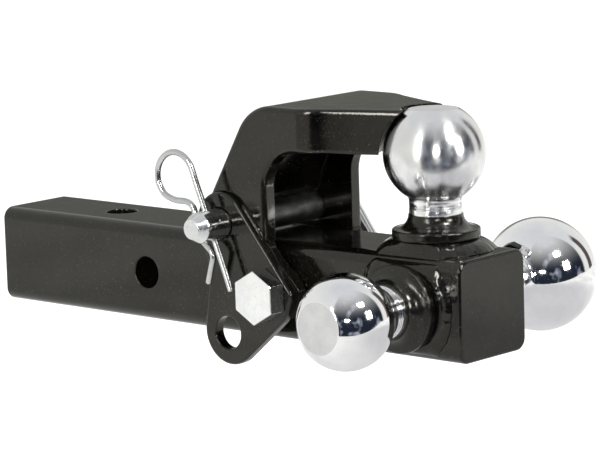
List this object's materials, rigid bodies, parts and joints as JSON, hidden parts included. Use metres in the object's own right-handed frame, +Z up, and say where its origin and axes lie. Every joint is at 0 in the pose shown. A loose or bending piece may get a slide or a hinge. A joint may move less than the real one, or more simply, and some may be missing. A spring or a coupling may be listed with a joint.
{
  "type": "tri-ball trailer hitch mount",
  "caption": "Black square-bar trailer hitch mount with chromed tow balls on three sides and a pivoting pintle hook, locked by a bent hitch pin and a spring clip.",
  "frame": {"origin": "centre of the bar's insertion end face", "axes": "+X along the bar to the rear, towards the balls; +Z up, along the top ball's axis; +Y towards the large side ball"},
  "size_m": [0.32, 0.1974, 0.1332],
  "materials": {
    "black_paint": "gloss black powder coat",
    "painted_weld": "gloss black powder coat over a weld bead",
    "chrome": "polished chrome",
    "zinc_plate": "clear zinc plate"
  },
  "bodies": {
    "ball_mount": {"shank_bar": "black_paint", "top_ball": "chrome", "near_ball": "chrome", "far_ball": "chrome", "top_ball_flange": "black_paint", "near_ball_flange": "black_paint", "far_ball_flange": "black_paint", "top_ball_weld": "painted_weld", "near_ball_weld": "painted_weld", "far_ball_weld": "painted_weld", "pivot_bolt": "zinc_plate", "pivot_nut": "zinc_plate", "lock_washer": "zinc_plate", "near_spacer": "black_paint", "far_spacer": "black_paint"},
    "hook": {"pintle_hook": "black_paint", "near_side_plate": "black_paint", "far_side_plate": "black_paint", "near_plate_weld": "painted_weld", "far_plate_weld": "painted_weld"},
    "pin": {"lock_pin": "zinc_plate"},
    "clip": {"spring_clip": "zinc_plate"}
  },
  "joints": [
    {"name": "hook_swing", "type": "hinge", "parent": "ball_mount", "child": "hook", "pos_m": [0.208, 0, 0.0005], "axis": [0, -1, 0], "range_deg": [-0.9, 1]},
    {"name": "pin_slide", "type": "slide", "parent": "hook", "child": "pin", "axis": [0, 1, 0], "range_m": [-0.003, 0.11]},
    {"name": "clip_pull", "type": "slide", "parent": "pin", "child": "clip", "axis": [-0.3746, 0, 0.9272], "range_m": [0, 0.05], "deforming": ["spring_clip"]}
  ]
}
